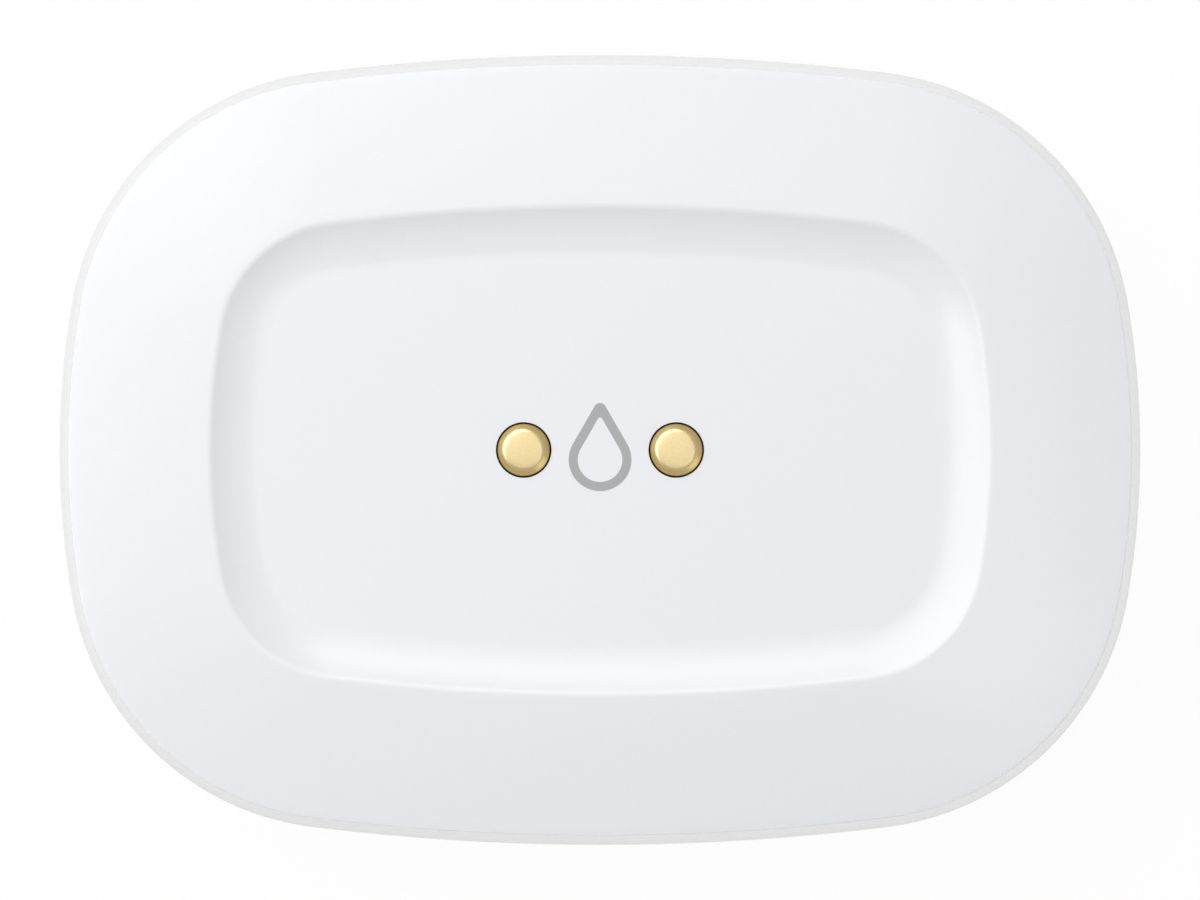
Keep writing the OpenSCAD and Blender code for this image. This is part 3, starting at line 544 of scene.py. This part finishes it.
# What stands under the roof: screw posts, the pins' bosses and the boss of the light pipe, then their bores
board_top = 8.42 * MM
pin_places = [Vector((-3.65 * MM, 0)), Vector((3.65 * MM, 0))]
pin_boss_z = dish_under - boss_h
pilot_r, pilot_top = 0.97 * MM, 11.3 * MM
pipe_bore_r, pipe_top = 1.45 * MM, dish_z - 0.6 * MM
pin_bore_z = dish_z - MM
combine(
    cover_moulding, "UNION",
    at_places(turned("cover_posts", [(post_r, board_top), (post_r, crest_roof_z + overlap)], boss_steps),
              screw_places),
    at_places(turned("pin_bosses", [(boss_r, pin_boss_z), (boss_r, dish_under + overlap)], boss_steps), pin_places),
    turned("pipe_boss", [(boss_r, pin_boss_z), (boss_r, dish_under + overlap)], boss_steps),
)
combine(
    cover_moulding, "DIFFERENCE",
    at_places(turned("pilots", [(pilot_r, board_top - MM), (pilot_r, pilot_top)], boss_steps), screw_places),
    at_places(turned("pin_bores", [(shank_bore_r, pin_boss_z - MM), (shank_bore_r, pin_bore_z),
                                   (head_bore_r, pin_bore_z), (head_bore_r, dish_z + MM)]), pin_places),
    turned("pipe_bore", [(pipe_bore_r, pin_boss_z - MM), (pipe_bore_r, pipe_top)], boss_steps),
)

# The same moulded ABS with a cooler tint, from a finer matt tool: less orange peel and a softer sheen
cover_abs = grained_material("satin_white_abs_cover", "#EEEFF3", "#ECEDF1", 0.25 * MM, (0.2, 0.26), 0.0004 * MM,
                             IOR=1.54)
dress(cover_moulding, cover_abs, "case", "top_cover", slot="cover_white")

# The side wall takes the base's ABS, a touch glossier than the face; its greyer tone there is painted shade on the
# same moulding
shaded_wall_lean = 0.3
cover_moulding.data.materials.append(base_abs)
for face in cover_moulding.data.polygons:
    if face.normal.z < shaded_wall_lean:
        face.material_index = 1


# Contact pins: two turned gold-plated brass pins whose low crowned heads stand just proud of the dish floor.
# Each is pushed through its bore onto a ring and held by a clip; they feel the water that drips in.
pin_tail_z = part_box("left_contact_pin")[0].z
pin_head_z = dish_z - 0.5 * MM
for name, place, node in (("left_pin", pin_places[0], "left_contact_pin"),
                          ("right_pin", pin_places[1], "right_contact_pin")):
    pin = at_places(turned(name, contact_rows(pin_face_z, pin_head_z, pin_tail_z)), [place])
    dress(pin, gold_plate, "case", node, slot="contact_gold")


# Drop symbol: a water drop outline pad-printed between the pins, over the light pipe.
# One thin coat of grey ink that dries matt, with soft edges.
drop_r, drop_hole_r = 1.5 * MM, 1.07 * MM
drop_tip_r, drop_hole_tip_r = 0.29 * MM, 0.12 * MM
drop_lean = 30
drop_c = Vector((0, -0.46 * MM))
ink_t = 0.012 * MM
drop_steps = 144


def drop_loop(name, r, tip_r):
    """Ring of points of a drop: a round belly and a small round tip, joined by straight tangent sides."""
    bpy.ops.object.select_all(action="DESELECT")
    bpy.ops.mesh.primitive_circle_add(vertices=drop_steps, radius=r, location=(0, 0, dish_z))
    loop = bpy.context.object
    loop.name = name
    bpy.ops.object.transform_apply(location=True, rotation=False, scale=False)
    tip_c = drop_c + Vector((0, (r - tip_r) / sine(drop_lean)))
    for vertex in loop.data.vertices:
        heading = vertex.co.xy.normalized()
        at_tip = heading.y > sine(drop_lean)
        vertex.co.xy = tip_c + tip_r * heading if at_tip else drop_c + r * heading
    return loop


drop_print = drop_loop("drop_print", drop_r, drop_tip_r)
drop_loop("drop_hole", drop_hole_r, drop_hole_tip_r).select_set(True)
drop_print.select_set(True)
bpy.context.view_layer.objects.active = drop_print
bpy.ops.object.join()
bpy.ops.object.mode_set(mode="EDIT")
bpy.ops.mesh.select_all(action="SELECT")
bpy.ops.mesh.bridge_edge_loops()
bpy.ops.mesh.select_all(action="SELECT")
bpy.ops.mesh.extrude_region_move(TRANSFORM_OT_translate={"value": (0, 0, ink_t)})
close_piece(drop_print)

# Pad-printing ink: flat mid grey with the faint mottle of a thin coat
ink = grained_material("grey_pad_print_ink", "#B0B0B2", "#A8A8AA", 0.15 * MM, (0.5, 0.6), 0.0004 * MM, IOR=1.48)
dress(drop_print, ink, "case", slot="cover_white")


# Case screws: four thread-forming steel screws driven up through the base posts into the cover.
# Their low domed heads have a cross recess and lie in counterbores of the underside.
screw_head_r, screw_r = 1.8 * MM, 0.95 * MM
screw_face_z, screw_tip_z = screw_seat_z - 1.3 * MM, 10.9 * MM
dome_h, dome_start, dome_steps = 0.35 * MM, 4, 8
cross_l, cross_w, cross_d = 2 * MM, 0.5 * MM, 0.7 * MM

dome = []
for i in range(dome_steps + 1):
    t = math.radians(dome_start + (90 - dome_start) * i / dome_steps)
    dome.append((screw_head_r * math.sin(t), screw_face_z + dome_h * (1 - math.cos(t))))
case_screw = turned("cross_screws", [*dome, (screw_head_r, screw_seat_z), (screw_r, screw_seat_z),
                                     (screw_r, screw_tip_z)])
for turn in (0, 90):
    bpy.ops.object.select_all(action="DESELECT")
    bpy.ops.mesh.primitive_cube_add(size=1, location=(0, 0, screw_face_z))
    wing = bpy.context.object
    wing.scale = (cross_l, cross_w, 2 * cross_d)
    wing.rotation_euler = (0, 0, math.radians(turn))
    bpy.ops.object.transform_apply(location=True, rotation=True, scale=True)
    combine(case_screw, "DIFFERENCE", wing)
cross_screws = at_places(case_screw, screw_places)

# Zinc-plated steel: pale grey metal, fine cloudy plating
zinc = grained_material("zinc_plated_steel", "#C4C6C8", "#ADB0B3", 0.2 * MM, (0.3, 0.45), 0.002 * MM, Metallic=1)
dress(cross_screws, zinc, "case", "case_screws", slot="screw_steel")


# Pair button: a small round key in the underside, moulded in white ABS, set below the surface.
# Its collar rests on the washer and its stem presses the switch on the board.
button_r, collar_r, stem_r = 2 * MM, 2.9 * MM, 0.95 * MM
button_face_z = base_z + 0.3 * MM
collar_z = floor_z + 0.42 * MM
collar_top = collar_z + 0.6 * MM
button_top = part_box("pair_button")[1].z
button_round, button_dip, button_steps = 0.3 * MM, 0.12 * MM, 6

# Its face dips towards the middle, by these shares of the dip at these shares of its radius
dip_shares = ((0.1, 1), (0.4, 0.8), (0.7, 0.2))
button_rows = [(r * button_r, button_face_z + dip * button_dip) for r, dip in dip_shares]
for i in range(button_steps + 1):
    t = math.radians(90) * i / button_steps
    button_rows.append((button_r - button_round * (1 - math.sin(t)),
                        button_face_z + button_round * (1 - math.cos(t))))
button_rows += [(button_r, collar_z), (collar_r, collar_z), (collar_r, collar_top), (stem_r, collar_top),
                (stem_r, button_top)]
press_button = at_places(turned("press_button", button_rows), [button_place])
dress(press_button, base_abs, "pair_button", "pair_button", slot="button_white")


# Battery door: a round ABS cover flush with the underside, turned by a coin on three bayonet lugs.
# A ring in its groove seals it, and its neck centres it in the well.
door_r, door_neck_r, door_bore_r = 12.8 * MM, 11.3 * MM, 10.3 * MM
door_round, round_steps = 0.25 * MM, 9
door_seat_z = ledge_z - 0.02 * MM
door_groove_r, door_groove_w, door_groove_z = 12.05 * MM, 0.64 * MM, 0.96 * MM
door_neck_z, door_floor_z = 4.15 * MM, 2.4 * MM
lug_r, lug_z, lug_top = 12.3 * MM, 2.95 * MM, 3.95 * MM
slot_l, slot_w, slot_d = 15 * MM, 2.2 * MM, 0.9 * MM
slot_r = (slot_l**2 / 4 + slot_d**2) / (2 * slot_d)
slot_steps = 256
groove_in, groove_out = door_groove_r - door_groove_w / 2, door_groove_r + door_groove_w / 2

door_rows = [(door_r - 3 * door_round, base_z)]
for i in range(round_steps + 1):
    t = math.radians(90) * i / round_steps
    door_rows.append((door_r - door_round * (1 - math.sin(t)), base_z + door_round * (1 - math.cos(t))))
door_rows += [(door_r, door_seat_z), (groove_out, door_seat_z), (groove_out, door_groove_z),
              (groove_in, door_groove_z), (groove_in, door_seat_z), (door_neck_r, door_seat_z),
              (door_neck_r, door_neck_z), (door_bore_r, door_neck_z), (door_bore_r, door_floor_z)]
bayonet_door = turned("bayonet_door", door_rows, door_steps)

for start in lug_starts:
    combine(bayonet_door, "UNION",
            ring_sector("door_lug", (door_neck_r - overlap, lug_r), (lug_z, lug_top), start, lug_angle))

# The slot is cut by a wide disc on edge, as a milling cutter would leave it, and its shallow ends stay crisp
bpy.ops.object.select_all(action="DESELECT")
bpy.ops.mesh.primitive_cylinder_add(
    vertices=slot_steps, radius=slot_r, depth=slot_w,
    rotation=(math.radians(90), 0, 0), location=(0, 0, base_z + slot_d - slot_r),
)
coin_slot = bpy.context.object
bpy.ops.object.transform_apply(location=True, rotation=True, scale=True)
combine(bayonet_door, "DIFFERENCE", coin_slot)
dress(bayonet_door, base_abs, "battery_door", "battery_door", slot="door_white", crisp_above=12)


# Floor: a wide white table. Seen directly or in a gloss it is lit white, with a share of its own shading
# kept so that the case still throws its shadow on it.
floor_size, floor_glow = 3, 0.96
bpy.ops.object.select_all(action="DESELECT")
bpy.ops.mesh.primitive_plane_add(size=floor_size, location=(0, 0, 0))
table_top = bpy.context.object
table_top.name = "table_top"
bpy.ops.object.transform_apply(location=True, rotation=False, scale=True)
white_paper = bpy.data.materials.new("white_paper_sweep")
white_paper.use_nodes = True
paper = white_paper.node_tree
paper.nodes.remove(paper.nodes["Principled BSDF"])
ray = add_node(paper, "ShaderNodeLightPath", {})
seen = add_node(paper, "ShaderNodeMath", {"operation": "MAXIMUM"},
                {0: (ray, "Is Camera Ray"), 1: (ray, "Is Glossy Ray")})
seen_all = add_node(paper, "ShaderNodeMath", {"operation": "MAXIMUM"},
                    {0: (seen, "Value"), 1: (ray, "Is Transmission Ray")})
share = add_node(paper, "ShaderNodeMath", {"operation": "MULTIPLY"}, {0: (seen_all, "Value")})
share.inputs[1].default_value = floor_glow
matt = add_node(paper, "ShaderNodeBsdfDiffuse", {"Color": linear("#FAFAFA")})
glow = add_node(paper, "ShaderNodeEmission", {"Color": linear("#FFFFFF"), "Strength": 1})
mix = add_node(paper, "ShaderNodeMixShader", {},
               {"Fac": (share, "Value"), 1: (matt, "BSDF"), 2: (glow, "Emission")})
paper.links.new(mix.outputs["Shader"], paper.nodes["Material Output"].inputs["Surface"])
table_top.data.materials.append(white_paper)


# Light: a wide soft box on the upper left and a panel overhead. Opposite stand two cards, a high one for the
# sheen of the case's rim and a low one for the gold rims. The room adds pale walls under a dim ceiling.
def add_softbox(name, heading, elevation, distance, size, power):
    """Area lamp of this width and height, aimed at the dish from a heading and elevation in degrees."""
    away = Vector((cosine(elevation) * cosine(heading), cosine(elevation) * sine(heading), sine(elevation)))
    bpy.ops.object.light_add(type="AREA", location=away * distance + Vector((0, 0, dish_z)))
    lamp = bpy.context.object
    lamp.name = name
    lamp.rotation_euler = away.to_track_quat("Z", "Y").to_euler()
    lamp.data.shape = "RECTANGLE"
    lamp.data.size, lamp.data.size_y = size
    lamp.data.energy = power


add_softbox("key_box", heading=139, elevation=52, distance=0.3, size=(0.44, 0.26), power=0.79)
add_softbox("rim_card", heading=-32, elevation=74, distance=0.5, size=(0.12, 0.12), power=0.07)
add_softbox("low_card", heading=-38, elevation=16, distance=0.5, size=(0.3, 0.3), power=0.17)
add_softbox("overhead_panel", heading=95, elevation=84, distance=0.5, size=(0.22, 0.22), power=0.12)

world = bpy.data.worlds.new("grey_room")
bpy.context.scene.world = world
world.use_nodes = True
room = world.node_tree
direction = add_node(room, "ShaderNodeTexCoord", {})
height = add_node(room, "ShaderNodeSeparateXYZ", {}, {"Vector": (direction, "Generated")})
sky = add_node(room, "ShaderNodeValToRGB", {}, {"Fac": (height, "Z")})
walls, ceiling = sky.color_ramp.elements

# The walls end and the ceiling starts at these sines of the elevation
walls.position, ceiling.position = 0.88, 0.95
walls.color, ceiling.color = linear("#B8B8B8"), linear("#6C6C6C")
room.links.new(sky.outputs["Color"], room.nodes["Background"].inputs["Color"])
room.nodes["Background"].inputs["Strength"].default_value = 1


# Camera: straight above the case with a long lens, so that the frame is 57.8 mm wide at the seam.
frame_w = 57.76 * MM
lens_mm, sensor_mm = 900, 36
bpy.ops.object.camera_add(location=(0, 0, seam_z + frame_w * lens_mm / sensor_mm), rotation=(0, 0, 0))
camera = bpy.context.object
camera.data.lens = lens_mm
camera.data.sensor_width = sensor_mm
camera.data.clip_end = 10
bpy.context.scene.camera = camera
